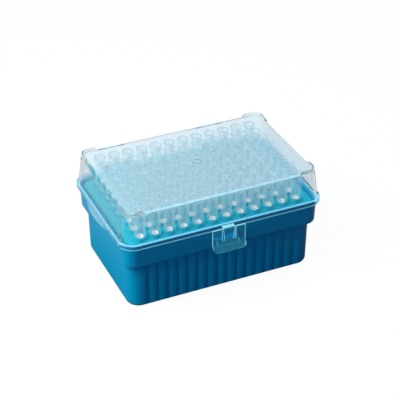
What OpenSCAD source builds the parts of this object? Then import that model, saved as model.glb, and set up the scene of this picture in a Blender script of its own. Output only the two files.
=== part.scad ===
// Rack box of pipette tips: a ribbed tub, a tray with raised sockets, tips on a
// 9 mm grid, and a clear lid with a rear hinge and a front strap latch.
// The origin is the middle of the tub's underside, +Z is up and the latch faces -Y.

/* [Tips] */
// Distance between the axes of neighbouring tips
pitch = 9; // [8.6:0.1:11]
// Tips along the box
columns = 12; // [8:1:14]
// Tips across the box
rows = 8; // [4:1:10]
// Length of a tip from its orifice to its rim
tip_len = 50; // [44:0.5:60]
// Height of the wide collar that a pipette pushes into
tip_collar_h = 16.8; // [13:0.1:20]
// Outer diameter of the collar at its rim
tip_rim_d = 7.3; // [6.8:0.1:7.5]
// Outer diameter of the collar at its shoulder
tip_shoulder_d = 6.6; // [6.2:0.1:6.9]
// Wall of the collar
tip_wall = 0.7; // [0.6:0.05:0.9]
// Outer diameter of the tapered body under the shoulder
tip_body_d = 5.3; // [4.8:0.1:5.6]
// Wall of the tapered body
tip_body_wall = 0.5; // [0.4:0.05:0.6]
// Straight length of the body under the shoulder
tip_land = 1.2; // [0.6:0.1:2]
// Height of the cone between the collar's socket and the body's bore
tip_funnel = 2.8; // [2:0.1:4]
// Height of the slender point
tip_point_h = 15.3; // [12:0.1:20]
// Outer diameter where the point meets the body
tip_point_d = 2.1; // [1.8:0.1:2.6]
// Outer diameter of the orifice end
orifice_d = 0.9; // [0.8:0.05:1.4]
// Bore of the orifice
orifice_bore = 0.45; // [0.3:0.05:0.6]

/* [Tub] */
// From the axis of an end column to the outside of the lid's skirt
end_margin = 14.38; // [13:0.01:20]
// From the axis of a side row to the outside of the lid's skirt
side_margin = 11.24; // [10.8:0.01:18]
// Height of the tub's rim
base_h = 46; // [38:0.5:56]
// Height of the ribbed body below the collar
step_h = 30; // [20:0.5:32]
// How far the collar stands out from the body
step_out = 2.4; // [1:0.1:3.5]
// Wall of the tub
wall_t = 1.8; // [1.4:0.1:2.4]
// Floor of the tub
floor_t = 2; // [1.5:0.1:3]
// Radius of the body's upright corners
body_r = 8.6; // [6:0.1:12]
// Radius round the tub's bottom edge
foot_r = 2.4; // [1:0.1:3]
// Radius under the collar's lower edge
collar_r = 1.5; // [0.5:0.1:2]
// How far a wall leans out over the body or the collar
draft = 0.5; // [0.2:0.05:0.8]

/* [Ribs] */
// Distance between the grooves of the front and back walls
rib_pitch = 6.25; // [5:0.05:9]
// Depth of a groove between two ribs
rib_depth = 0.7; // [0.4:0.05:0.9]
// Plain wall between the body's end and the first groove, at least
rib_margin = 9; // [6:0.5:16]

/* [Tray] */
// How far the tray's plate lies below the rim
tray_drop = 2; // [1:0.1:4]
// Thickness of the plate
tray_t = 1.8; // [1.2:0.1:2.4]
// Wall of the tray's skirt
tray_wall = 1.2; // [0.8:0.1:1.6]
// Height of a socket above the plate
socket_h = 2.1; // [1:0.1:3]
// Diameter of a socket's outside
socket_d = 7.6; // [7:0.1:8]
// Play between a tip's body and its hole, in radius
tip_play = 0.2; // [0.1:0.05:0.3]
// Gap between the tray and the tub
tray_gap = 0.3; // [0.2:0.05:0.6]

/* [Lid] */
// Wall and top of the lid
lid_t = 1.3; // [1:0.1:1.8]
// Height of the skirt that laps over the rim
skirt_h = 3.3; // [2.6:0.1:5]
// Wall of the skirt
skirt_t = 1.6; // [1.2:0.1:2]
// Radius of the skirt's upright corners
skirt_r = 9.6; // [8:0.1:14]
// Gap between the skirt and the tub's collar
skirt_gap = 0.35; // [0.3:0.05:0.6]
// Gap between the closed lid and the rim
lid_gap = 0.1; // [0.05:0.05:0.3]
// How far the skirt reaches above the rim
skirt_over = 1.4; // [1.2:0.1:2.5]
// Step from the skirt's outside in to the lid's wall
lid_step = 1.35; // [1:0.05:1.5]
// How far the lid's walls lean in over their height
lid_lean = 2; // [1:0.05:2.6]
// Room between the tips' rims and the lid's ceiling
head_room = 1.2; // [0.6:0.1:4]
// Radius round the lid's top edge
lid_edge_r = 3; // [2:0.1:4]
// Diameter of the gate mark's ring on the lid's top
gate_d = 5.4; // [4:0.1:8]
// Width of the ring's line
gate_line = 0.5; // [0.3:0.05:0.8]
// Height of the gate mark
gate_h = 0.25; // [0.15:0.05:0.5]

/* [Stacking ridges] */
// Height of the corner ridges on the lid
ridge_h = 1.4; // [0.8:0.1:2]
// Thickness of a corner ridge
ridge_t = 1.3; // [1:0.1:1.6]
// Straight run of a ridge past each end of its corner
ridge_run = 6; // [2:0.5:12]
// Length over which a ridge's end rounds down to the lid
ridge_end = 4; // [3:0.1:6]
// How far a ridge's outside lies in from the top of the lid's wall
ridge_inset = 0.6; // [0.3:0.05:1]

/* [Finger tabs] */
// Length of the tab on each short side of the skirt
tab_len = 34; // [20:1:40]
// How far a tab stands out from the skirt
tab_out = 2; // [1:0.1:3]
// Thickness of a tab at its edge
tab_t = 1.2; // [0.8:0.1:1.6]
// Thickness of a tab at its root
tab_root_t = 1.7; // [1.2:0.1:2]
// Height of a tab's root above the skirt's foot
tab_rise = 1.2; // [0.6:0.1:1.4]
// How far a tab's edge droops below the skirt's foot
tab_droop = 0.6; // [0:0.1:1.2]

/* [Hinge] */
// Radius of the lid's hinge pins
pin_r = 1.5; // [1.2:0.1:1.8]
// Running clearance of the pins, in radius
pin_play = 0.06; // [0.02:0.01:0.1]
// How much narrower than the pin the ears' mouths are
snap_bite = 0.75; // [0.4:0.05:1]
// Wall round a pin
knuckle_wall = 1.1; // [0.9:0.1:1.4]
// Width of a lid knuckle
knuckle_w = 10; // [6:0.5:16]
// Width of one hinge ear on the tub
ear_w = 2.6; // [2:0.1:4]
// Gap between a knuckle and its ears
ear_gap = 0.3; // [0.2:0.05:0.5]
// Gap between the skirt's foot and the gussets under it
gusset_gap = 0.8; // [0.4:0.1:1.2]
// Space between the skirt's back and the rounds of the ears
hinge_stand = 0.6; // [0.4:0.1:1.5]
// Height of the hinge axis above the skirt's foot
hinge_rise = 0.3; // [0:0.1:1]
// Height of the gusset that carries an ear
gusset_h = 11; // [6:0.5:13]
// From the skirt's outside to the middle of a hinge
hinge_end = 30.7; // [18:0.1:34]

/* [Latch] */
// Width of the latch plate
latch_w = 20.6; // [16:0.1:26]
// Height of the latch plate
latch_h = 14.2; // [13:0.1:16]
// Thickness of the latch plate
latch_t = 1.3; // [1:0.1:1.6]
// Gap between the skirt and the latch plate
latch_gap = 1.7; // [1.4:0.1:2.2]
// How far the plate's top lies below the skirt's top
latch_drop = 1.3; // [0.8:0.1:2]
// Radius of the latch plate's lower corners
latch_r = 3; // [1:0.1:4]
// Height of the flared finger lip
lip_h = 4.4; // [3:0.1:5]
// How far the lip flares out
lip_out = 2.6; // [1:0.1:3.2]
// Width of the notch round the strap
notch_w = 8.6; // [7:0.1:12]
// Depth of that notch
notch_h = 8; // [6:0.1:8.5]
// Slit beside the strap at its root
slit_top = 0.6; // [0.3:0.05:0.8]
// Slit beside the strap at its foot
slit_foot = 1.6; // [1:0.05:2]
// Thickness of the strap
strap_t = 1; // [0.8:0.05:1.2]
// Gap between the strap's root and the skirt
root_gap = 0.05; // [0.02:0.01:0.1]
// How far the latch's hook reaches in under the tub's catch
hook_bite = 0.7; // [0.4:0.05:1]
// Height of the hook
hook_h = 2.6; // [2:0.1:3]
// Gap between the hook and the catch
hook_gap = 0.4; // [0.3:0.05:0.6]
// Width of the hook and of the catch on the tub
catch_w = 14; // [8:0.5:16]
// Height of the catch, with the slope over it
catch_h = 3.6; // [2.4:0.1:4.5]
// Height of the catch's front edge
catch_land = 0.8; // [0.5:0.1:1.2]

/* [Hidden] */
tip_column_nodes = [for (i = [1:columns]) str("tips_column_", i < 10 ? "0" : "", i)];
$fn = 96;

// Facets of the small rounds, of the ribs and of the tabs' wide arcs
small_fn = 48;
rib_fn = 180;
wide_fn = 360;
// Bevel on small edges, and how deep shapes of one solid run into each other
edge = 0.4;
lap = 0.5;
// How far a cutter runs past what it cuts
over = 1;

// Half sizes in plan, [along X, along Y], and the radii of their corners
grid_half = [(columns - 1) * pitch / 2, (rows - 1) * pitch / 2];
skirt_half = [grid_half.x + end_margin, grid_half.y + side_margin];
collar_in = skirt_t + skirt_gap;
collar_half = inset(skirt_half, collar_in);
collar_corner = skirt_r - collar_in;
body_in = draft + step_out;
body_half = inset(collar_half, body_in);
cavity_half = inset(collar_half, wall_t);
cavity_corner = collar_corner - wall_t;

// How far in from the body's outside the flat floor starts, and from the skirt's outside
// the top of the lid's wall
floor_in = draft + max(foot_r, wall_t);
lean_in = lid_step + lid_lean;

// Heights
ledge_z = step_h + wall_t;
plate_top = base_h - tray_drop;
plate_foot = plate_top - tray_t;
socket_top = plate_top + socket_h;
tip_top = socket_top + tip_collar_h;
tip_foot = tip_top - tip_len;
lid_top = tip_top + head_room + lid_t;
skirt_top = base_h + skirt_over;
skirt_foot = skirt_top - skirt_h;
seat_z = base_h + lid_gap;

// Middle of each hinge in X, and its axis in Y and Z
head_r = pin_r + knuckle_wall;
hinge_x = skirt_half.x - hinge_end;
hinge_y = skirt_half.y + head_r + hinge_stand;
hinge_z = skirt_foot + hinge_rise;

// Strap root, latch plate and hook in Y and Z
root_r = strap_t / 2;
root_y = -skirt_half.y - root_r - root_gap;
root_z = skirt_top - root_r - edge;
plate_in = -skirt_half.y - latch_gap;
plate_out = plate_in - latch_t;
latch_top = skirt_top - latch_drop;
latch_foot = latch_top - latch_h;
notch_foot = latch_top - notch_h;
lip_top = latch_foot + lip_h;
hook_top = lip_top + edge;
hook_y = (plate_in - collar_half.y + hook_bite) / 2;
catch_y = hook_y - hook_bite;

tub_colour = [0.05, 0.42, 0.66];
tray_colour = [0.0, 0.62, 0.8];
tip_colour = [0.86, 0.91, 0.94, 0.6];
lid_colour = [0.8, 0.88, 0.93, 0.35];

// Half sizes drawn in by a distance
function inset(half, distance) = [half.x - distance, half.y - distance];

// Points of an arc about a centre, from one angle to another
function arc(centre, r, from, to, steps = 6) =
    [for (i = [0:steps]) let (a = from + (to - from) * i / steps) centre + r * [cos(a), sin(a)]];

// Radius of the arc that rises by a height over a chord
function arc_radius(chord, rise) = (pow(chord / 2, 2) + pow(rise, 2)) / (2 * rise);

// Carries a section round a rounded rectangle. The section's X is the distance
// outwards from the rectangle's edge, and its Y is the height.
module round_wall(half, r) {
    for (i = [0:3]) {
        sx = (i == 0 || i == 3) ? 1 : -1;
        sy = i < 2 ? 1 : -1;
        translate([sx * (half.x - r), sy * (half.y - r), 0])
            rotate([0, 0, 90 * i])
                rotate_extrude(angle = 90) translate([r, 0]) children();
    }
    for (turn = [0, 180]) rotate([0, 0, turn]) {
        translate([half.x, half.y - r, 0]) rotate([90, 0, 0])
            linear_extrude(2 * (half.y - r)) children();
        translate([r - half.x, half.y, 0]) rotate([90, 0, 90])
            linear_extrude(2 * (half.x - r)) children();
    }
}

// Rounded rectangle in plan
module plan(half, r) {
    square([2 * half.x, 2 * (half.y - r)], center = true);
    square([2 * (half.x - r), 2 * half.y], center = true);
    for (sx = [-1, 1], sy = [-1, 1])
        translate([sx * (half.x - r), sy * (half.y - r)]) circle(r);
}

// Section in Y and Z, drawn out along X about the middle
module along_x(width) {
    rotate([90, 0, 90]) linear_extrude(width, center = true) children();
}

// Outline in X and Z, drawn out along Y right through the box
module along_y() {
    rotate([90, 0, 0]) linear_extrude(4 * skirt_half.y, center = true) children();
}

// Rod along X about the hinge axis
module hinge_rod(r, width) {
    translate([0, hinge_y, hinge_z]) rotate([0, 90, 0]) cylinder(r = r, h = width, center = true);
}

// Puts a child at each tip of the grid
module at_tips() {
    for (i = [0:columns - 1], j = [0:rows - 1])
        translate([i * pitch - grid_half.x, j * pitch - grid_half.y, 0]) children();
}

// ---------- tub ----------

// Section of the ribbed lower wall and its rounded foot
module body_section() {
    polygon(concat(
        [[-floor_in - lap, 0]],
        arc([-foot_r - draft, foot_r], foot_r, 270, 360),
        [[0, ledge_z], [-wall_t, ledge_z], [-wall_t - draft, floor_t],
         [-floor_in - lap, floor_t]]));
}

// Section of the collar, with the ledge that carries the tray
module collar_section() {
    polygon(concat(
        [[-body_in - wall_t, step_h]],
        arc([-draft - collar_r, step_h + collar_r], collar_r, 270, 360),
        arc([-edge, base_h - edge], edge, 0, 90, 4),
        [[edge - wall_t, base_h], [-wall_t, base_h - edge],
         [-wall_t - draft, ledge_z], [-body_in - wall_t, ledge_z]]));
}

// Flat ring under the collar that closes the corners between it and the body
module step_ring() {
    under = draft + collar_r + lap;
    translate([0, 0, step_h]) linear_extrude(wall_t) difference() {
        plan(inset(collar_half, under), collar_corner - under);
        plan(inset(body_half, wall_t), body_r - wall_t);
    }
}

// Cutter that leaves a row of convex ribs on a wall along X at Y = 0
module rib_cutter(height) {
    grooves = 2 * floor((body_half.x - rib_margin) / rib_pitch);
    bulge_r = arc_radius(rib_pitch, rib_depth);
    linear_extrude(height) difference() {
        translate([-grooves * rib_pitch / 2, -rib_depth])
            square([grooves * rib_pitch, rib_depth + over]);
        for (i = [-grooves / 2:grooves / 2])
            translate([i * rib_pitch, -bulge_r]) circle(bulge_r, $fn = rib_fn);
    }
}

// The cutter on the front and back walls, leaning with them and ending at the collar
module wall_ribs() {
    lean = atan(draft / (ledge_z - foot_r));
    for (turn = [0, 180]) rotate([0, 0, turn])
        translate([0, body_half.y, ledge_z]) rotate([-lean, 0, 0])
            translate([0, 0, -ledge_z - over]) rib_cutter(step_h + over);
}

// Two ears that hold a lid pin, with mouths at the top where the pin snaps in
module hinge_ears() {
    wall_y = collar_half.y - draft - lap;
    bridge_z = skirt_foot - gusset_gap;
    for (side = [-1, 1])
        translate([side * (knuckle_w / 2 + ear_gap + ear_w / 2), 0, 0]) difference() {
            along_x(ear_w) {
                translate([hinge_y, hinge_z]) circle(head_r);
                polygon([[wall_y, hinge_z - gusset_h], [hinge_y + head_r, hinge_z - head_r],
                    [hinge_y + head_r, hinge_z], [hinge_y - head_r, hinge_z],
                    [hinge_y - head_r, bridge_z], [wall_y, bridge_z]]);
            }
            hinge_rod(pin_r + pin_play, ear_w + over);
            translate([0, hinge_y, hinge_z + head_r])
                cube([ear_w + over, 2 * pin_r - snap_bite, 2 * head_r], center = true);
        }
}

// Sloped catch on the front of the collar, over the latch's hook
module latch_catch() {
    wall_y = -collar_half.y + draft + lap;
    foot_z = hook_top + hook_gap;
    along_x(catch_w) polygon([[wall_y, foot_z], [catch_y, foot_z], [catch_y, foot_z + catch_land],
        [-collar_half.y + draft, foot_z + catch_h], [wall_y, foot_z + catch_h]]);
}

module tub() color(tub_colour) {
    difference() {
        union() {
            round_wall(body_half, body_r) body_section();
            linear_extrude(floor_t) plan(inset(body_half, floor_in), body_r - floor_in);
            round_wall(collar_half, collar_corner) collar_section();
            step_ring();
        }
        wall_ribs();
    }
    for (side = [-1, 1]) translate([side * hinge_x, 0, 0]) hinge_ears();
    latch_catch();
}

// ---------- tray ----------

module tray() color(tray_colour) {
    lean = draft / 2;
    outer_half = inset(cavity_half, tray_gap + lean);
    corner = cavity_corner - tray_gap;
    difference() {
        union() {
            translate([0, 0, plate_foot]) linear_extrude(tray_t)
                plan(inset(outer_half, lap), corner - lap);
            round_wall(outer_half, corner) polygon([[-lean - tray_wall, ledge_z],
                [-lean, ledge_z], [0, plate_top - edge], [-edge, plate_top],
                [-tray_wall, plate_top]]);
            at_tips() translate([0, 0, plate_foot])
                cylinder(d = socket_d, h = socket_top - plate_foot, $fn = small_fn);
        }
        at_tips() translate([0, 0, plate_foot - over])
            cylinder(d = tip_body_d + 2 * tip_play, h = socket_top - plate_foot + 2 * over,
                $fn = small_fn);
    }
}

// ---------- tips ----------

// Section of one tip, from the orifice up to the rim and down its bore
module tip_section() {
    shoulder = tip_len - tip_collar_h;
    bevel = tip_wall / 3;
    rim_r = tip_rim_d / 2;
    shoulder_r = tip_shoulder_d / 2;
    body_end = shoulder - tip_land;
    polygon([
        [orifice_bore / 2, 0], [orifice_d / 2, 0], [tip_point_d / 2, tip_point_h],
        [tip_body_d / 2, body_end], [tip_body_d / 2, shoulder],
        [shoulder_r - bevel, shoulder], [shoulder_r, shoulder + bevel],
        [rim_r, tip_len - bevel], [rim_r - bevel, tip_len],
        [rim_r - tip_wall + bevel, tip_len], [rim_r - tip_wall, tip_len - tip_wall],
        [shoulder_r - tip_wall, body_end + tip_funnel],
        [tip_body_d / 2 - tip_body_wall, body_end],
        [tip_point_d / 2 - tip_body_wall, tip_point_h]]);
}

// One column of tips, counted from 0 at the -X end
module tips_column(i) color(tip_colour) {
    for (j = [0:rows - 1])
        translate([i * pitch - grid_half.x, j * pitch - grid_half.y, tip_foot])
            rotate_extrude($fn = small_fn) tip_section();
}

// ---------- lid ----------

// Section of the skirt, the wall and the rounded top edge of the lid
module lid_section() {
    round_centre = [-lean_in - lid_edge_r, lid_top - lid_edge_r];
    flat_in = -lean_in - lid_edge_r - lap;
    wall_in = -lid_step - lid_t;
    polygon(concat(
        [[-skirt_t, skirt_foot]],
        arc([-edge, skirt_foot + edge], edge, 270, 360, 4),
        arc([-edge, skirt_top - edge], edge, 0, 90, 4),
        [[-lid_step, skirt_top]],
        arc(round_centre, lid_edge_r, 0, 90, 8),
        [[flat_in, lid_top], [flat_in, lid_top - lid_t]],
        arc(round_centre, lid_edge_r - lid_t, 90, 0, 8),
        [[wall_in, skirt_top], [wall_in, seat_z], [-skirt_t, seat_z]]));
}

// Height of the lid's rounded top edge, at a distance in from the top of its wall
function top_edge_z(x) =
    lid_top - lid_edge_r + sqrt(pow(lid_edge_r, 2) - pow(max(lid_edge_r - x, 0), 2));

// Side view of a ridge's bounds, from its rounded end out past its corner. The distance
// runs outwards from the corner's centre, and the sign says towards which side.
module ridge_bounds(sign, reach, foot_z, crown_z) {
    end_r = arc_radius(2 * ridge_end, crown_z - foot_z);
    centre = [ridge_end - ridge_run, crown_z - end_r];
    points = concat([[-ridge_run, foot_z - over], [reach, foot_z - over], [reach, crown_z]],
        arc(centre, end_r, 90, 90 + acos(1 - (crown_z - foot_z) / end_r), 8));
    polygon([for (p = points) [sign * p.x, p.y]]);
}

// Arc-shaped ridges with round crests on the corners of the lid's top
module corner_ridges() {
    ridge_in = lean_in + ridge_inset;
    r = skirt_r - ridge_in;
    half = inset(skirt_half, ridge_in);
    crest_r = ridge_t / 2;
    crest_z = lid_top + ridge_h;
    crown_z = crest_z + edge;
    foot_z = top_edge_z(ridge_inset);
    reach = r + over;
    intersection() {
        round_wall(half, r) polygon(concat(
            [[-ridge_t, top_edge_z(ridge_inset + ridge_t) - lap], [0, foot_z - lap]],
            arc([-crest_r, crest_z - crest_r], crest_r, 0, 180)));
        for (sx = [-1, 1], sy = [-1, 1])
            translate([sx * (half.x - r), sy * (half.y - r), 0]) intersection() {
                along_y() ridge_bounds(sx, reach, foot_z, crown_z);
                along_x(4 * reach) ridge_bounds(sy, reach, foot_z, crown_z);
            }
    }
}

// Drooping crescents on the short sides of the skirt
module finger_tabs() {
    r = arc_radius(tab_len, tab_out);
    sweep = 2 * asin((tab_len / 2 + over) / r);
    root_r = r - tab_out - lap;
    foot_z = skirt_foot - tab_droop;
    root_z = skirt_foot + tab_rise;
    for (turn = [0, 180]) rotate([0, 0, turn]) intersection() {
        translate([skirt_half.x + tab_out - r, 0, 0]) rotate([0, 0, -sweep / 2])
            rotate_extrude(angle = sweep, $fn = wide_fn)
                polygon([[root_r, root_z], [r - edge, foot_z], [r, foot_z + edge],
                    [r, foot_z + tab_t], [root_r, root_z + tab_root_t]]);
        translate([skirt_half.x - skirt_t / 2, -tab_len, foot_z - over])
            cube([skirt_t + tab_out, 2 * tab_len, 2 * skirt_h]);
    }
}

// Ring and dot left by the mould's gate in the middle of the top
module gate_mark() {
    translate([0, 0, lid_top - lap]) {
        difference() {
            cylinder(d = gate_d, h = gate_h + lap);
            translate([0, 0, -over]) cylinder(d = gate_d - 2 * gate_line, h = lid_t + 2 * over);
        }
        cylinder(r = gate_line, h = gate_h + lap);
    }
}

// Knuckle behind the skirt, with a pin that runs through it into both ears
module lid_knuckle() {
    r = head_r - edge / 2;
    skirt_y = skirt_half.y - skirt_t / 2;
    along_x(knuckle_w) {
        translate([hinge_y, hinge_z]) circle(r);
        polygon([[skirt_y, skirt_foot + edge], [hinge_y, hinge_z - r / 2],
            [hinge_y, hinge_z + r], [skirt_y, skirt_top - edge]]);
    }
    hinge_rod(pin_r, knuckle_w + 2 * (ear_gap + ear_w));
}

module lid() color(lid_colour) {
    round_wall(skirt_half, skirt_r) lid_section();
    flat_in = lean_in + lid_edge_r;
    translate([0, 0, lid_top - lid_t]) linear_extrude(lid_t)
        plan(inset(skirt_half, flat_in), skirt_r - flat_in);
    corner_ridges();
    finger_tabs();
    gate_mark();
    for (side = [-1, 1]) translate([side * hinge_x, 0, 0]) lid_knuckle();
}

// ---------- latch ----------

// Section of the plate and its flared lip
module latch_plate_section() {
    lip_y = plate_out - lip_out;
    polygon([[plate_out, latch_top - edge], [plate_out, lip_top], [lip_y, latch_foot + edge],
        [lip_y + edge / 2, latch_foot], [lip_y + latch_t, latch_foot],
        [plate_in, lip_top - edge], [plate_in, latch_top], [plate_out + edge, latch_top]]);
}

// Section of the hook behind the plate
module latch_hook_section() {
    root = plate_in - latch_t / 2;
    polygon([[root, hook_top], [hook_y, hook_top], [hook_y, hook_top - edge],
        [root, hook_top - hook_h]]);
}

// Section of the strap, from its rounded root over the arch and down to the notch's foot
module strap_section() {
    arch_r = root_y - plate_out - strap_t / 2;
    centre = [root_y, root_z - arch_r];
    translate([root_y, root_z]) circle(root_r);
    polygon(concat(
        arc(centre, arch_r + root_r, 90, 180, 8),
        [[plate_out, notch_foot - lap], [plate_out + strap_t, notch_foot - lap]],
        arc(centre, arch_r - root_r, 180, 90, 8)));
}

// Front outline of the plate, with its lower corners rounded
module latch_outline() {
    translate([-latch_w / 2, latch_foot + latch_r]) square([latch_w, latch_h]);
    translate([latch_r - latch_w / 2, latch_foot - over])
        square([latch_w - 2 * latch_r, latch_h]);
    for (side = [-1, 1])
        translate([side * (latch_w / 2 - latch_r), latch_foot + latch_r]) circle(latch_r);
}

// Front outline of the strap, which narrows from its root to its foot
module strap_outline() {
    top_x = notch_w / 2 - slit_top;
    foot_x = notch_w / 2 - slit_foot;
    polygon([[-foot_x, notch_foot - over], [foot_x, notch_foot - over], [foot_x, notch_foot],
        [top_x, skirt_top], [-top_x, skirt_top], [-foot_x, notch_foot]]);
}

module latch() color(lid_colour) {
    difference() {
        intersection() {
            union() {
                along_x(latch_w) latch_plate_section();
                along_x(catch_w) latch_hook_section();
            }
            along_y() latch_outline();
        }
        translate([-notch_w / 2, plate_out - over, notch_foot])
            cube([notch_w, latch_t + 2 * over, notch_h + over]);
    }
    intersection() {
        along_x(notch_w) strap_section();
        along_y() strap_outline();
    }
}

tub();
tray();
lid();
latch();
for (i = [0:columns - 1])
    tips_column(i);
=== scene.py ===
"""Looks of a box of pipette tips: a ribbed tub, a socket tray, 96 tips and a clear lid with its strap latch.

Lengths are in metres, +Z is up and the latch faces -Y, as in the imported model.
"""
import logging
import math
from dataclasses import dataclass
from enum import Enum, IntEnum
from typing import ClassVar

import bmesh
import bpy
import numpy as np
from mathutils import Matrix, Vector


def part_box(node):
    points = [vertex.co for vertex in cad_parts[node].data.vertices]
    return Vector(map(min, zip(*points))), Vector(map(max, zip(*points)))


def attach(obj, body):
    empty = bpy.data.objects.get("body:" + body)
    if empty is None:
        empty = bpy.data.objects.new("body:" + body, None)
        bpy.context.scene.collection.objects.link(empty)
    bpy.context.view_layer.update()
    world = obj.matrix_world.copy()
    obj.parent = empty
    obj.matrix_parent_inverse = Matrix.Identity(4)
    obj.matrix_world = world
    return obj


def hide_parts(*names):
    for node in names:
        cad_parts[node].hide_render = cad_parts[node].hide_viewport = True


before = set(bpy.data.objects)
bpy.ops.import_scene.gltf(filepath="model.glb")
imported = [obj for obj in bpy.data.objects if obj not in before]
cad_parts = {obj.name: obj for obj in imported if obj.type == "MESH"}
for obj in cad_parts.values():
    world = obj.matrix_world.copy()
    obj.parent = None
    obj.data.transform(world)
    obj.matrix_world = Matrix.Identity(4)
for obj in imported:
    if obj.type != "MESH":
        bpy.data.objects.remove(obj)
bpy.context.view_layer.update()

MM = 0.001
log = logging.getLogger("tip_box")

Colour = tuple[float, float, float]
Place = tuple[float, float, float]
Socket = bpy.types.NodeSocket


class Body(Enum):
    """The bodies that pieces ride on."""

    BOX = "box"
    LID = "lid"
    LATCH = "latch"


class Slot(Enum):
    """The record's material slots."""

    TUB = "tub_blue"
    TRAY = "tray_cyan"
    LID = "lid_clear"
    TIP = "tip_natural"


class Ray(Enum):
    """The kinds of ray that a shader can tell apart."""

    CAMERA = "Is Camera Ray"
    GLOSSY = "Is Glossy Ray"
    TRANSMISSION = "Is Transmission Ray"
    SHADOW = "Is Shadow Ray"
    DIFFUSE = "Is Diffuse Ray"


class MixSocket(IntEnum):
    """The sockets of a Mix node that mixes colours, by number. RESULT is an output, the rest are inputs."""

    FACTOR = 0
    FIRST = 6
    SECOND = 7
    RESULT = 2


class LidFinish(IntEnum):
    """The lid's finishes, by their places among its materials."""

    CLEAR = 0
    FROST = 1
    PAINTED_HIGHLIGHT = 2
    BEND = 3
    SKIRT_HIGHLIGHT = 4
    WALL = 5
    SHADE = 6
    TAB = 7


class TipFinish(IntEnum):
    """The tips' finishes, by their places among a column's materials."""

    CLEAR = 0
    THROAT_HIGHLIGHT = 1
    RIM_SHADE = 2
    FOOT_PAINTED_LIGHT = 3


class Sheet:
    """A node tree being laid out, with short calls to add and join nodes."""

    def __init__(self, tree: bpy.types.NodeTree) -> None:
        """Starts on the tree to fill, emptied."""
        self.tree = tree
        tree.nodes.clear()

    def add(self, kind: str, inputs: dict | None = None, **settings: object) -> bpy.types.Node:
        """Adds one node.

        Args:
            kind: The node's type.
            inputs: Values or source sockets, by the input's name or number.
            **settings: The node's own properties.

        Returns:
            The new node.
        """
        node = self.tree.nodes.new(kind)
        for name, value in settings.items():
            setattr(node, name, value)
        for key, value in (inputs or {}).items():
            if isinstance(value, Socket):
                self.tree.links.new(value, node.inputs[key])
            else:
                node.inputs[key].default_value = value
        return node

    def math(self, operation: str, *values: object, clamp: bool = False) -> Socket:
        """Adds a Math node on numbers or sockets and returns its result."""
        node = self.add("ShaderNodeMath", dict(enumerate(values)), operation=operation, use_clamp=clamp)
        return node.outputs[0]

    def mix(self, factor: object, first: object, second: object) -> Socket:
        """Adds a colour Mix node and returns its colour."""
        inputs = {MixSocket.FACTOR: factor, MixSocket.FIRST: first, MixSocket.SECOND: second}
        return self.add("ShaderNodeMix", inputs, data_type="RGBA").outputs[MixSocket.RESULT]

    def blend(self, share: object, first: Socket, second: Socket) -> Socket:
        """Adds a Mix Shader node, with the given share for the second shader, and returns its output."""
        return self.add("ShaderNodeMixShader", {0: share, 1: first, 2: second}).outputs[0]


@dataclass(frozen=True)
class MouldedSurface:
    """The surface that every moulding shares: fine grain, slow waves of sink, and uneven gloss."""

    name: str = "moulded_surface"
    grain_detail: float = 2.0
    sink_detail: float = 1.0
    patch_detail: float = 3.0
    patch_finer: float = 3.0
    middle: float = 0.5

    def group(self) -> bpy.types.NodeTree:
        """Builds the node group once.

        Grain is fine noise, sink is broad noise, and patch is noise finer than sink by its own factor.
        Height is the sum of grain and sink, each times its depth. Roughness is the given roughness plus
        the spread times patch less its middle value, and Tone is patch, which goes from 0 to 1.

        Returns:
            The group's tree.
        """
        if self.name in bpy.data.node_groups:
            return bpy.data.node_groups[self.name]
        tree = bpy.data.node_groups.new(self.name, "ShaderNodeTree")
        sheet = Sheet(tree)
        face = tree.interface
        face.new_socket(name="Position", in_out="INPUT", socket_type="NodeSocketVector")
        for name in ("Grain Scale", "Grain Depth", "Sink Scale", "Sink Depth",
                     "Roughness", "Roughness Spread"):
            face.new_socket(name=name, in_out="INPUT", socket_type="NodeSocketFloat")
        for name in ("Roughness", "Height", "Tone"):
            face.new_socket(name=name, in_out="OUTPUT", socket_type="NodeSocketFloat")
        given = sheet.add("NodeGroupInput").outputs
        grain = self._noise(sheet, given["Position"], given["Grain Scale"], self.grain_detail)
        sink = self._noise(sheet, given["Position"], given["Sink Scale"], self.sink_detail)
        patch_scale = sheet.math("MULTIPLY", given["Sink Scale"], self.patch_finer)
        patch = self._noise(sheet, given["Position"], patch_scale, self.patch_detail)
        height = sheet.math("ADD", sheet.math("MULTIPLY", grain, given["Grain Depth"]),
                            sheet.math("MULTIPLY", sink, given["Sink Depth"]))
        about_zero = sheet.math("SUBTRACT", patch, self.middle)
        uneven = sheet.math("MULTIPLY", about_zero, given["Roughness Spread"])
        rough = sheet.math("ADD", given["Roughness"], uneven, clamp=True)
        sheet.add("NodeGroupOutput", {"Roughness": rough, "Height": height, "Tone": patch})
        return tree

    @staticmethod
    def _noise(sheet: Sheet, position: object, scale: object, detail: float) -> Socket:
        """Adds a noise texture and returns its value."""
        node = sheet.add("ShaderNodeTexNoise", {"Vector": position, "Scale": scale, "Detail": detail})
        return node.outputs["Fac"]


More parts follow.
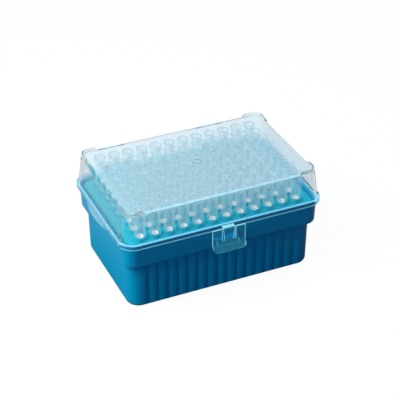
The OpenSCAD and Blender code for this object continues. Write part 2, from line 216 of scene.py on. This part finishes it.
@dataclass(frozen=True)
class Plastic:
    """A moulded plastic. Its tone wanders a little between two colours."""

    name: str
    colour: Colour
    shade: Colour
    roughness: float
    spread: float = 0.06
    grain_scale: float = 5200.0
    grain_depth: float = 0.25
    sink_scale: float = 42.0
    sink_depth: float = 1.0
    bump: float = 0.08
    bump_distance: float = 0.0004
    specular: float = 0.5
    ior: float = 1.49
    transmission: float = 0.0

    def material(self) -> bpy.types.Material:
        """Builds the material.

        Returns:
            The material, with one Principled shader.
        """
        made = bpy.data.materials.new(self.name)
        made.use_nodes = True
        sheet = Sheet(made.node_tree)
        sheet.add("ShaderNodeOutputMaterial", {"Surface": self.shader(sheet)})
        return made

    def shader(self, sheet: Sheet) -> Socket:
        """Lays out the shader and returns its output."""
        return self.principled(sheet).outputs[0]

    def principled(self, sheet: Sheet) -> bpy.types.Node:
        """Lays out the Principled shader and its surface.

        Args:
            sheet: The material's tree.

        Returns:
            The Principled node.
        """
        surface = sheet.add("ShaderNodeGroup", {
            "Position": sheet.add("ShaderNodeTexCoord").outputs["Object"],
            "Grain Scale": self.grain_scale, "Grain Depth": self.grain_depth,
            "Sink Scale": self.sink_scale, "Sink Depth": self.sink_depth,
            "Roughness": self.roughness, "Roughness Spread": self.spread}, node_tree=MouldedSurface().group())
        bump = sheet.add("ShaderNodeBump", {"Strength": self.bump, "Distance": self.bump_distance,
                                            "Height": surface.outputs["Height"]})
        return sheet.add("ShaderNodeBsdfPrincipled", {
            "Base Color": self.tone(sheet, surface.outputs["Tone"]),
            "Roughness": surface.outputs["Roughness"], "Normal": bump.outputs[0],
            "Specular IOR Level": self.specular, "IOR": self.ior, "Transmission Weight": self.transmission})

    def tone(self, sheet: Sheet, wander: Socket) -> Socket:
        """Lays out the colour, which goes from one tone to the other as wander goes from 0 to 1."""
        return sheet.mix(wander, (*self.colour, 1), (*self.shade, 1))


@dataclass(frozen=True)
class ClearPlastic(Plastic):
    """A see-through plastic. Rays that carry light to the pieces behind it go straight through."""

    let_by: float = 0.97
    open_to_light: bool = True
    # Painted shade: a darker colour where the wall is seen edge on.
    edge_shade_colour: Colour | None = None
    edge_power: float = 2.0
    edge_blend: float = 0.5

    def shader(self, sheet: Sheet) -> Socket:
        """Lays out the plastic, with a plain see-through shader for shadow rays and diffuse rays.

        A plastic that isn't open to light does without it, so its own walls light each other.

        Args:
            sheet: The material's tree.

        Returns:
            The shader's output.
        """
        shown = self.shown(sheet)
        if not self.open_to_light:
            return shown
        path = sheet.add("ShaderNodeLightPath").outputs
        tint = (self.let_by, self.let_by, self.let_by, 1)
        gap = sheet.add("ShaderNodeBsdfTransparent", {"Color": tint}).outputs[0]
        for ray in (Ray.SHADOW, Ray.DIFFUSE):
            shown = sheet.blend(path[ray.value], shown, gap)
        return shown

    def shown(self, sheet: Sheet) -> Socket:
        """Lays out what is seen of the plastic and returns its output."""
        return self.principled(sheet).outputs[0]

    def edge_on(self, sheet: Sheet) -> Socket:
        """Gives 0 where the surface faces the eye, rising by the edge power to 1 where it is seen edge on."""
        facing = sheet.add("ShaderNodeLayerWeight", {"Blend": self.edge_blend}).outputs["Facing"]
        return sheet.math("POWER", facing, self.edge_power)

    def tone(self, sheet: Sheet, wander: Socket) -> Socket:
        """Lays out the colour, going to the darker edge colour where the wall is seen edge on, as painted
        shade.

        Args:
            sheet: The material's tree.
            wander: A value from 0 to 1 that drifts over the surface.

        Returns:
            The colour.
        """
        plain = super().tone(sheet, wander)
        if self.edge_shade_colour is None:
            return plain
        return sheet.mix(self.edge_on(sheet), plain, (*self.edge_shade_colour, 1))


@dataclass(frozen=True)
class PolishedPlastic(ClearPlastic):
    """A see-through plastic with a smoother and more even face."""

    spread: float = 0.02
    bump: float = 0.03


@dataclass(frozen=True)
class GlowPlastic(ClearPlastic):
    """A coloured plastic so thin that the light on its far side shows through."""

    glow: float = 0.5

    def shown(self, sheet: Sheet) -> Socket:
        """Lays out the shader. The far side's light has the share called glow.

        Args:
            sheet: The material's tree.

        Returns:
            The shader's output.
        """
        front = self.principled(sheet)
        tone = front.inputs["Base Color"].links[0].from_socket
        behind = sheet.add("ShaderNodeBsdfTranslucent", {"Color": tone}).outputs[0]
        return sheet.blend(self.glow, front.outputs[0], behind)


@dataclass(frozen=True)
class ThinPlastic(GlowPlastic):
    """A thin natural plastic. It veils what is behind it by a share that changes where it is seen edge on."""

    veil: float = 0.17
    edge_veil: float = 0.3

    def shown(self, sheet: Sheet) -> Socket:
        """Lays out the shader with its cover.

        The cover is the veil, plus what the edge veil adds times the edge-on weight.

        Args:
            sheet: The material's tree.

        Returns:
            The shader's output.
        """
        wall = super().shown(sheet)
        rise = sheet.math("MULTIPLY", self.edge_on(sheet), self.edge_veil - self.veil)
        cover = sheet.math("ADD", rise, self.veil)
        gap = sheet.add("ShaderNodeBsdfTransparent").outputs[0]
        return sheet.blend(cover, gap, wall)


TUB_BLUE = Plastic("tub_blue", (0.0, 0.275, 0.53), (0.0, 0.26, 0.505), 0.4, specular=0.14)
# Painted light: a paler blue for the inside of the tub's rear wall, standing in for light that comes through
# it.
TUB_REAR_PAINTED_LIGHT = Plastic("tub_rear_painted_light", (0.0, 0.66, 0.72), (0.0, 0.64, 0.7), 0.4, specular=0.06)
TRAY_CYAN = Plastic("tray_cyan", (0.0, 0.345, 0.48), (0.0, 0.33, 0.46), 0.34, specular=0.05)
# Painted light: the sockets are a paler cyan than the plate, lifting their shaded sides; the translucent share
# also lets real light through their walls.
TRAY_SOCKET_PAINTED_LIGHT = GlowPlastic("tray_socket_painted_light", (0.0, 0.6, 0.82), (0.0, 0.58, 0.79), 0.4, specular=0.05, let_by=0.7)
TIP_CLEAR = ThinPlastic("tip_natural", (0.55, 0.87, 1.0), (0.53, 0.85, 0.98), 0.4, specular=0.15,
                        edge_power=2.5)
# Painted light: the collars' feet are paler and less veiled than the rest of the tip, lifting the shade
# between the feet.
TIP_FOOT_PAINTED_LIGHT = ThinPlastic("tip_foot", (0.7, 0.92, 1.0), (0.68, 0.9, 0.98), 0.4, specular=0.1, veil=0.04,
                       edge_veil=0.1)
# Painted shade: the rims are darker and denser than the rest of the tip, standing in for the dark outline they
# show.
TIP_RIM_SHADE = ThinPlastic("tip_rim_shade", (0.34, 0.57, 0.67), (0.32, 0.55, 0.65), 0.3, specular=0.15, veil=0.5,
                      edge_veil=0.8)
# Painted highlight: the tips' throats are opaque white, standing in for the bright spot that light makes at
# the foot of each collar.
TIP_THROAT_HIGHLIGHT = ThinPlastic("tip_throat_highlight", (0.97, 0.98, 1.0), (0.95, 0.96, 0.98), 0.5, specular=0.2, veil=1.0,
                        edge_veil=0.25, edge_power=1.8, glow=0.0, open_to_light=False)
# Painted shade: the clear lid's walls darken to a grey where they are seen edge on.
LID_CLEAR = PolishedPlastic("lid_clear", (0.86, 0.9, 0.92), (0.85, 0.89, 0.91), 0.08, specular=0.45,
                            ior=1.18, transmission=0.988, let_by=1.0, edge_shade_colour=(0.42, 0.48, 0.52))
# Painted highlight: a bright finish for the front of the lid's top edge and its front-left corner ridges.
LID_PAINTED_HIGHLIGHT = PolishedPlastic("lid_painted_highlight", (0.6, 0.88, 1.0), (0.58, 0.86, 0.98), 0.3, specular=0.3, ior=1.15,
                           transmission=0.62)
# Painted highlight: the skirt's rounds and ledge at the front.
LID_SKIRT_HIGHLIGHT = PolishedPlastic("lid_skirt_highlight", (0.34, 0.74, 0.88), (0.33, 0.72, 0.86), 0.35, specular=0.08,
                            ior=1.12, transmission=0.6)
LID_WALL = PolishedPlastic("lid_wall", (0.36, 0.74, 0.86), (0.35, 0.72, 0.84), 0.2, specular=0.25,
                           ior=1.15, transmission=0.96)
LID_TAB = PolishedPlastic("lid_tab", (0.6, 0.76, 0.88), (0.58, 0.74, 0.86), 0.3, specular=0.2, ior=1.12,
                          transmission=0.87)
LID_BEND = PolishedPlastic("lid_bend", (0.56, 0.7, 0.74), (0.55, 0.69, 0.73), 0.08, ior=1.4,
                           transmission=0.985)
# Painted shade: the dark band along the lid's top edge on the left.
LID_SHADE = PolishedPlastic("lid_shade", (0.1, 0.42, 0.5), (0.09, 0.41, 0.49), 0.08, ior=1.3,
                            transmission=0.97)
LID_FROSTED = ClearPlastic("lid_frosted", (0.8, 0.89, 0.95), (0.79, 0.88, 0.94), 0.13, ior=1.2,
                           transmission=0.93, let_by=0.9)
LATCH_CLEAR = PolishedPlastic("latch_clear", (0.22, 0.89, 1.0), (0.21, 0.87, 0.98), 0.12, specular=0.15,
                              ior=1.08, transmission=0.92)
# Painted highlight: a bright finish for the latch's sideways faces and its arch.
LATCH_PAINTED_HIGHLIGHT = PolishedPlastic("latch_painted_highlight", (0.4, 0.85, 0.95), (0.39, 0.83, 0.93), 0.3, specular=0.2,
                             ior=1.15, transmission=0.5)


@dataclass
class Moulding:
    """A piece with the shape of its CAD node, merged and with its small edges shaded round."""

    node: str
    piece: str
    body: Body
    slot: Slot
    finish: Plastic
    merge: float = 1e-6
    crease: float = math.radians(50)

    def build(self) -> list[bpy.types.Object]:
        """Makes the piece from a copy of the node's mesh.

        Corners closer than the merge distance become one. Edges that turn by more than the crease
        angle stay sharp, and the rest are smooth, with each normal weighted by the areas round it.

        Returns:
            A list of the one new piece, which stands for the node.
        """
        made = bpy.data.meshes.new(self.piece)
        work = bmesh.new()
        work.from_mesh(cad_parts[self.node].data)
        bmesh.ops.remove_doubles(work, verts=work.verts, dist=self.merge)
        bmesh.ops.dissolve_degenerate(work, edges=work.edges, dist=self.merge)
        work.to_mesh(made)
        work.free()
        stored = made.attributes.get("custom_normal")
        if stored is not None:
            made.attributes.remove(stored)
        made.shade_smooth()
        made.set_sharp_from_angle(angle=self.crease)
        piece = bpy.data.objects.new(self.piece, made)
        bpy.context.scene.collection.objects.link(piece)
        weighted = piece.modifiers.new("weighted_normals", "WEIGHTED_NORMAL")
        weighted.keep_sharp = True
        self.dress(piece)
        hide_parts(self.node)
        return [piece]

    @staticmethod
    def faces(mesh: bpy.types.Mesh) -> tuple[np.ndarray, np.ndarray]:
        """Reads where each face is and which way it faces.

        Args:
            mesh: The mesh to read.

        Returns:
            The faces' centres and their normals, one row a face.
        """
        count = len(mesh.polygons)
        centres, normals = np.empty(count * 3), np.empty(count * 3)
        mesh.polygons.foreach_get("center", centres)
        mesh.polygons.foreach_get("normal", normals)
        return centres.reshape(-1, 3), normals.reshape(-1, 3)

    @staticmethod
    def paint(piece: bpy.types.Object, finishes: tuple[Plastic, ...], places: np.ndarray) -> None:
        """Adds finishes after the piece's own and shares them out.

        Args:
            piece: The piece, with its own finish in place 0.
            finishes: The finishes for places 1 and up.
            places: Each face's place among the piece's materials.
        """
        for finish in finishes:
            piece.data.materials.append(finish.material())
        piece.data.polygons.foreach_set("material_index", places.astype(np.int32))

    def dress(self, piece: bpy.types.Object) -> None:
        """Gives the piece its finish and its body.

        Args:
            piece: The new piece.
        """
        piece.data.materials.append(self.finish.material())
        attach(piece, self.body.value)


@dataclass
class Tub(Moulding):
    """The ribbed tub, moulded in one piece with its hinge ears and its catch.

    The inside of its rear wall is painted paler above the collar's foot, as painted light for the light that
    comes through it.
    """

    node: str = "tub"
    piece: str = "tub_shell"
    body: Body = Body.BOX
    slot: Slot = Slot.TUB
    finish: Plastic = TUB_BLUE
    rear: Plastic = TUB_REAR_PAINTED_LIGHT
    collar_foot: float = 32 * MM
    corner: float = 6 * MM
    forward: float = 0.3

    def dress(self, piece: bpy.types.Object) -> None:
        """Gives the inside of the rear wall, and of its corners, the paler finish, which is painted light.

        Args:
            piece: The tub.
        """
        centres, normals = self.faces(piece.data)
        behind = centres[:, 1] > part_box("tray")[1].y - self.corner
        # Painted light: these faces get the paler rear finish.
        inside = behind & (centres[:, 2] > self.collar_foot) & (normals[:, 1] < -self.forward)
        inside &= np.abs(normals[:, 2]) < self.forward
        super().dress(piece)
        self.paint(piece, (self.rear,), inside)


@dataclass
class Tray(Moulding):
    """The plate with its raised sockets, painted a paler cyan than the plate as painted light; their thin
    walls also let light through.
    """

    node: str = "tray"
    piece: str = "tray_plate"
    body: Body = Body.BOX
    slot: Slot = Slot.TRAY
    finish: Plastic = TRAY_CYAN
    socket: Plastic = TRAY_SOCKET_PAINTED_LIGHT
    socket_height: float = 2.1 * MM
    play: float = 0.05 * MM

    def dress(self, piece: bpy.types.Object) -> None:
        """Gives what stands up from the plate the sockets' paler finish, which is painted light.

        Args:
            piece: The tray.
        """
        height = self.faces(piece.data)[0][:, 2]
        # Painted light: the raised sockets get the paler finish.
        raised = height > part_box(self.node)[1].z - self.socket_height + self.play
        super().dress(piece)
        self.paint(piece, (self.socket,), raised)


@dataclass
class Latch(Moulding):
    """The strap latch, with its plate, its hook and its finger lip. Its cut edges and its arch have a painted
    highlight.
    """

    node: str = "latch"
    piece: str = "strap_latch"
    body: Body = Body.LATCH
    slot: Slot = Slot.LID
    finish: Plastic = LATCH_CLEAR
    edge: Plastic = LATCH_PAINTED_HIGHLIGHT
    steep: float = 0.75
    arch: float = 2 * MM

    def dress(self, piece: bpy.types.Object) -> None:
        """Paints a highlight on the faces that look sideways and on the top of the strap's arch.

        Args:
            piece: The latch.
        """
        centres, normals = self.faces(piece.data)
        on_arch = (centres[:, 2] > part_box(self.node)[1].z - self.arch) & (normals[:, 2] > self.steep)
        # Painted highlight on the sideways faces and the arch's top.
        bright = on_arch | (np.abs(normals[:, 0]) > self.steep)
        super().dress(piece)
        self.paint(piece, (self.edge,), bright)


@dataclass
class Lid(Moulding):
    """The clear lid. Its flat top is frosted, and its front edges have painted highlights: bright lines
    painted where they catch the light.
    """

    node: str = "lid"
    piece: str = "lid_cover"
    body: Body = Body.LID
    slot: Slot = Slot.LID
    finish: Plastic = LID_CLEAR
    frost: Plastic = LID_FROSTED
    painted_highlight: Plastic = LID_PAINTED_HIGHLIGHT
    bend: Plastic = LID_BEND
    skirt: Plastic = LID_SKIRT_HIGHLIGHT
    wall: Plastic = LID_WALL
    tab: Plastic = LID_TAB
    shade: Plastic = LID_SHADE
    thickness: float = 1.3 * MM
    ridge_height: float = 1.4 * MM
    gate_height: float = 0.25 * MM
    skirt_top: float = 47.4 * MM
    skirt_foot: float = 44.1 * MM
    skirt_round: float = 0.4 * MM
    tab_out: float = 2 * MM
    front_reach: float = 7 * MM
    play: float = 0.05 * MM
    flat: float = 0.98
    forward: float = 0.2
    highlight_from: float = 0.75
    highlight_to: float = 0.93
    shade_from: float = 0.35
    shade_to: float = 0.8

    def zones(self, mesh: bpy.types.Mesh) -> np.ndarray:
        """Chooses each face's finish by its place and normal.

        The flat top's faces lie within its thickness and face straight up or down. A painted highlight goes on
        a narrow forward part of the top edge's round, and on those faces of the corner ridges that slope to
        the front left. Painted shade, a dark band, goes on a part of the same round on the left. The rest of
        the round and of the ridges bends the light. The walls below are clear. Of the skirt, the rounds and
        the ledge get a painted highlight at the front, the finger tabs are pale, and the rest is tinted a
        clear blue.

        Args:
            mesh: The lid's mesh.

        Returns:
            Each face's place among the lid's materials.
        """
        centres, normals = self.faces(mesh)
        height, rise = centres[:, 2], normals[:, 2]
        ahead, leftward = normals[:, 1] < -self.forward, normals[:, 0] < -self.forward
        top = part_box(self.node)[1].z - self.ridge_height
        level = 1 - self.flat
        near_top = height > top - self.thickness - self.play
        ridge = height > top + self.gate_height + self.play
        frosted = near_top & ~ridge & (np.abs(rise) > self.flat)
        # Painted highlight: the forward part of the top edge's round.
        painted_highlight = near_top & (height < top) & (rise > self.highlight_from) & (rise < self.highlight_to) & ahead
        # Painted shade: a dark band on part of the top edge's round on the left.
        shade = near_top & (rise > self.shade_from) & (rise < self.shade_to) & leftward & ~ahead
        # Painted highlight: the corner ridges' faces that slope to the front left.
        painted_highlight |= ridge & (rise > self.shade_from) & (rise < self.flat) & ahead & (normals[:, 0] < 0)
        bend = near_top & (rise > level) | ridge
        low = height < self.skirt_top + self.play
        inboard = np.abs(centres[:, 0]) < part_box(self.node)[1].x - self.tab_out + self.play
        ledge = low & (height > self.skirt_top - self.skirt_round - self.play) & (rise > level)
        near_foot = (height > self.skirt_foot - self.play) & (height < self.skirt_foot + self.skirt_round)
        foot = near_foot & (rise < -level)
        front = centres[:, 1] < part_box(self.node)[0].y + self.front_reach
        # Painted highlight on the skirt's front rounds and ledge; the tabs and the rest of the skirt keep
        # their own tints.
        return np.select([painted_highlight, frosted, shade, bend, (ledge | foot) & inboard & front, low & ~inboard, low],
                         [LidFinish.PAINTED_HIGHLIGHT, LidFinish.FROST, LidFinish.SHADE, LidFinish.BEND, LidFinish.SKIRT_HIGHLIGHT,
                          LidFinish.TAB, LidFinish.WALL], LidFinish.CLEAR)

    def dress(self, piece: bpy.types.Object) -> None:
        """Gives the lid's faces their finishes.

        Args:
            piece: The lid.
        """
        places = self.zones(piece.data)
        super().dress(piece)
        finishes = (self.frost, self.painted_highlight, self.bend, self.skirt, self.wall, self.shade, self.tab)
        self.paint(piece, finishes, places)


@dataclass
class TipRack:
    """The tips, in columns of eight. Each tip is a profile turned about its own axis.

    The first three numbers say where along the profile's points the throat, the foot and the rim begin.
    """

    THROAT_FROM_END: ClassVar[int] = 3
    FOOT_FROM_START: ClassVar[int] = 3
    RIM_FROM_START: ClassVar[int] = 7

    columns: int = 12
    rows: int = 8
    pitch: float = 9 * MM
    length: float = 50 * MM
    collar_height: float = 16.8 * MM
    rim_radius: float = 3.65 * MM
    shoulder_radius: float = 3.3 * MM
    wall: float = 0.7 * MM
    bevel_parts: int = 3
    body_radius: float = 2.65 * MM
    body_wall: float = 0.5 * MM
    land: float = 1.2 * MM
    funnel: float = 2.8 * MM
    highlight_share: float = 0.35
    point_height: float = 15.3 * MM
    point_radius: float = 1.05 * MM
    orifice_radius: float = 0.45 * MM
    orifice_bore: float = 0.225 * MM
    turns: int = 32
    rim_steps: int = 5
    crease: float = math.radians(35)
    clear: Plastic = TIP_CLEAR
    throat_highlight: Plastic = TIP_THROAT_HIGHLIGHT
    rim: Plastic = TIP_RIM_SHADE
    foot: Plastic = TIP_FOOT_PAINTED_LIGHT

    def profile(self) -> np.ndarray:
        """Gives a tip's closed outline as radius and height, up the outside and down the bore.

        The rim is a half circle between the outer and the inner wall, and the shoulder's bevel is one
        part in bevel_parts of the wall. The bore has a socket, a cone down to the body, and a long
        taper to the orifice.

        Returns:
            An array of rows of radius and height above the orifice.
        """
        shoulder = self.length - self.collar_height
        body_end = shoulder - self.land
        bevel, half = self.wall / self.bevel_parts, self.wall / 2
        angles = np.linspace(0, math.pi, self.rim_steps)
        round_rim = np.stack([self.rim_radius - half + half * np.cos(angles),
                              self.length - half + half * np.sin(angles)], axis=1)
        outside = [[self.orifice_bore, 0], [self.orifice_radius, 0], [self.point_radius, self.point_height],
                   [self.body_radius, body_end], [self.body_radius, shoulder],
                   [self.shoulder_radius - bevel, shoulder], [self.shoulder_radius, shoulder + bevel]]
        mouth, throat = self.shoulder_radius - self.wall, self.body_radius - self.body_wall
        inside = [[mouth, body_end + self.funnel],
                  [throat + (mouth - throat) * self.highlight_share, body_end + self.funnel * self.highlight_share],
                  [throat, body_end],
                  [self.point_radius - self.body_wall, self.point_height]]
        return np.concatenate([outside, round_rim, inside])

    def column_mesh(self, name: str, corner: Vector) -> bpy.types.Mesh:
        """Turns the profile about each tip's axis.

        A point is its radius times the cosine and sine of the turn, moved to the tip's axis, and
        its height. Each quad joins two neighbouring profile points over one step of the turn.

        Args:
            name: The mesh's name.
            corner: The lowest corner of the column's box.

        Returns:
            The column's mesh, closed. Of its faces, the lower funnels and the bores under them carry a painted
            highlight, the rims painted shade, the collars' feet with the land under them a paler finish of
            painted light, and the rest the clear finish.
        """
        outline = self.profile()
        count = len(outline)
        angles = np.linspace(0, 2 * math.pi, self.turns, endpoint=False)
        ring = np.stack([outline[:, 0, None] * np.cos(angles), outline[:, 0, None] * np.sin(angles),
                         np.broadcast_to(outline[:, 1, None], (count, self.turns))], axis=-1)
        axes = np.array([[corner.x + self.rim_radius, corner.y + self.rim_radius + j * self.pitch, corner.z]
                         for j in range(self.rows)])
        points = (ring[None] + axes[:, None, None, :]).reshape(-1, 3)
        steps = (np.arange(self.rows), np.arange(count), np.arange(self.turns))
        tip, row, turn = np.meshgrid(*steps, indexing="ij")
        here, above = (tip * count + row) * self.turns, (tip * count + (row + 1) % count) * self.turns
        onward = (turn + 1) % self.turns
        quads = np.stack([here + turn, here + onward, above + onward, above + turn], axis=-1).reshape(-1, 4)
        made = bpy.data.meshes.new(name)
        made.from_pydata(points, [], quads)
        made.shade_smooth()
        made.set_sharp_from_angle(angle=self.crease)
        level, throat = row.ravel(), count - self.THROAT_FROM_END
        # Painted highlight: the lower funnel and the bore under it take the opaque white finish.
        throat_highlight = (level == throat) | (level == throat + 1)
        # Painted shade on the rims.
        rim = (level >= self.RIM_FROM_START) & (level < self.RIM_FROM_START + self.rim_steps - 1)
        # Painted light on the collars' feet and the land under them.
        foot = (level >= self.FOOT_FROM_START) & (level < self.RIM_FROM_START - 1)
        finishes = [TipFinish.THROAT_HIGHLIGHT, TipFinish.RIM_SHADE, TipFinish.FOOT_PAINTED_LIGHT]
        places = np.select([throat_highlight, rim, foot], finishes, TipFinish.CLEAR)
        made.polygons.foreach_set("material_index", places.astype(np.int32))
        return made

    def build(self) -> list[bpy.types.Object]:
        """Builds every column in its node's place.

        Returns:
            The columns.
        """
        finishes = [finish.material() for finish in (self.clear, self.throat_highlight, self.rim, self.foot)]
        made = []
        for i in range(1, self.columns + 1):
            node = f"tips_column_{i:02d}"
            piece = bpy.data.objects.new(f"tips_{i:02d}", self.column_mesh(f"tips_{i:02d}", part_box(node)[0]))
            bpy.context.scene.collection.objects.link(piece)
            self.dress(piece, finishes)
            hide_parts(node)
            made.append(piece)
        return made

    def dress(self, piece: bpy.types.Object, finishes: list[bpy.types.Material]) -> None:
        """Gives a column its finishes and its body.

        Args:
            piece: The column.
            finishes: The materials, in the order of TipFinish.
        """
        for finish in finishes:
            piece.data.materials.append(finish)
        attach(piece, Body.BOX.value)


@dataclass(frozen=True)
class Lamp:
    """A square soft box that looks at a point on the box."""

    name: str
    place: Place
    size: float
    radiance: float
    colour: Colour
    target: Place = (0.0, 0.0, 0.03)

    def build(self) -> None:
        """Makes the lamp. Its power is its radiance times pi and its area."""
        light = bpy.data.lights.new(self.name, "AREA")
        light.size = self.size
        light.energy = self.radiance * math.pi * self.size ** 2
        light.color = self.colour
        lamp = bpy.data.objects.new(self.name, light)
        lamp.location = self.place
        lamp.rotation_euler = (Vector(self.target) - Vector(self.place)).to_track_quat("-Z", "Y").to_euler()
        bpy.context.scene.collection.objects.link(lamp)


KEY_LEFT = Lamp("key_left", place=(-0.46, -0.01, 0.50), size=0.4, radiance=13.2, colour=(0.97, 1.0, 0.81))
RAKE = Lamp("rake", place=(-0.38, -0.36, 0.20), size=0.2, radiance=4.1, colour=(0.31, 0.69, 1.0))
TOP = Lamp("top", place=(0.18, 0.12, 0.70), size=0.5, radiance=4.8, colour=(0.85, 0.92, 1.0))


@dataclass
class Studio:
    """The pale floor, the white surroundings, the lamps and the camera."""

    lamps: tuple[Lamp, ...] = (KEY_LEFT, RAKE, TOP)
    floor_half: float = 6.0
    floor_colour: Colour = (0.035, 0.035, 0.035)
    floor_glow: float = 0.95
    floor_gloss: float = 0.95
    floor_drop: float = 0.1 * MM
    gloss_near: float = 60 * MM
    gloss_far: float = 170 * MM
    dim_colour: Colour = (0.4, 0.62, 1.0)
    dim: float = 0.25
    clear_layers: int = 32
    azimuth: float = -24.13
    elevation: float = 32.87
    roll: float = -0.06
    lens: float = 113.94
    distance: float = 782.64 * MM
    aside: float = 1.82 * MM
    above: float = 32.19 * MM

    def build(self) -> None:
        """Builds the floor, the world, the lamps and the camera."""
        self.floor()
        self.world()
        for lamp in self.lamps:
            lamp.build()
        self.camera()
        bpy.context.scene.view_settings.view_transform = "Standard"
        bpy.context.scene.cycles.transparent_max_bounces = self.clear_layers

    @staticmethod
    def seen(sheet: Sheet, gloss: object = 1.0) -> Socket:
        """Tells the rays that see a surface from those that light the box with it.

        Args:
            sheet: The tree of the floor or of the world.
            gloss: The share for glossy rays, as a number or a socket.

        Returns:
            1 for camera and transmission rays, gloss for glossy rays, and 0 for the rest.
        """
        path = sheet.add("ShaderNodeLightPath").outputs
        straight = sheet.math("MAXIMUM", path[Ray.CAMERA.value], path[Ray.TRANSMISSION.value])
        return sheet.math("MAXIMUM", straight, sheet.math("MULTIPLY", path[Ray.GLOSSY.value], gloss))

    def floor(self) -> None:
        """Lays the floor, which is white where it is seen and darker where it lights the box. Its reflection
        has painted shade near the box.
        """
        half = self.floor_half
        made = bpy.data.meshes.new("floor")
        corners = [(-half, -half, 0), (half, -half, 0), (half, half, 0), (-half, half, 0)]
        made.from_pydata(corners, [], [(0, 1, 2, 3)])
        floor = bpy.data.objects.new("floor", made)
        floor.location.z = -self.floor_drop
        bpy.context.scene.collection.objects.link(floor)
        paint = bpy.data.materials.new("pale_floor")
        paint.use_nodes = True
        sheet = Sheet(paint.node_tree)
        matt = sheet.add("ShaderNodeBsdfDiffuse", {"Color": (*self.floor_colour, 1)}).outputs[0]
        glow = sheet.add("ShaderNodeEmission", {"Strength": self.floor_glow}).outputs[0]
        both = sheet.add("ShaderNodeAddShader", {0: matt, 1: glow}).outputs[0]
        # Painted shade: glossy rays see the floor dark up to gloss_near from its middle under the box, rising
        # to floor_gloss at gloss_far, standing in for the box's contact shadow in its reflections.
        place = sheet.add("ShaderNodeTexCoord").outputs["Object"]
        away = sheet.add("ShaderNodeVectorMath", {0: place}, operation="LENGTH").outputs["Value"]
        gloss = sheet.add("ShaderNodeMapRange", {
            "Value": away, "From Min": self.gloss_near, "From Max": self.gloss_far,
            "To Min": 0.0, "To Max": self.floor_gloss}).outputs[0]
        shown = sheet.blend(self.seen(sheet, gloss), matt, both)
        sheet.add("ShaderNodeOutputMaterial", {"Surface": shown})
        made.materials.append(paint)

    def world(self) -> None:
        """Makes surroundings that are white where they are seen and dim where they light the box."""
        world = bpy.data.worlds.new("surroundings")
        bpy.context.scene.world = world
        world.use_nodes = True
        sheet = Sheet(world.node_tree)
        dim = sheet.add("ShaderNodeBackground", {
            "Color": (*self.dim_colour, 1), "Strength": self.dim}).outputs[0]
        white = sheet.add("ShaderNodeBackground", {"Color": (1, 1, 1, 1), "Strength": 1.0}).outputs[0]
        shown = sheet.blend(self.seen(sheet), dim, white)
        sheet.add("ShaderNodeOutputWorld", {"Surface": shown})

    def camera(self) -> None:
        """Sets the camera. It stands back along its own axis, a little aside of and above the origin."""
        turn, lift = math.radians(self.azimuth), math.radians(self.elevation)
        back = Vector((math.sin(turn) * math.cos(lift), -math.cos(turn) * math.cos(lift), math.sin(lift)))
        right = (-back).cross(Vector((0, 0, 1))).normalized()
        up = back.cross(right)
        lens = bpy.data.cameras.new("camera")
        lens.lens = self.lens
        camera = bpy.data.objects.new("camera", lens)
        place = back * self.distance + right * self.aside + up * self.above
        axes = Matrix((right, up, back)).transposed().to_4x4()
        roll = Matrix.Rotation(math.radians(self.roll), 4, "Z")
        camera.matrix_world = Matrix.Translation(place) @ axes @ roll
        bpy.context.scene.collection.objects.link(camera)
        bpy.context.scene.camera = camera


def main() -> None:
    """Builds the box piece by piece, then the studio round it."""
    logging.basicConfig(level=logging.INFO, format="%(name)s: %(message)s")
    for assembly in (Tub(), Tray(), TipRack(), Lid(), Latch()):
        for piece in assembly.build():
            log.info("%s: %d faces", piece.name, len(piece.data.polygons))
    Studio().build()


if __name__ == "__main__":
    main()
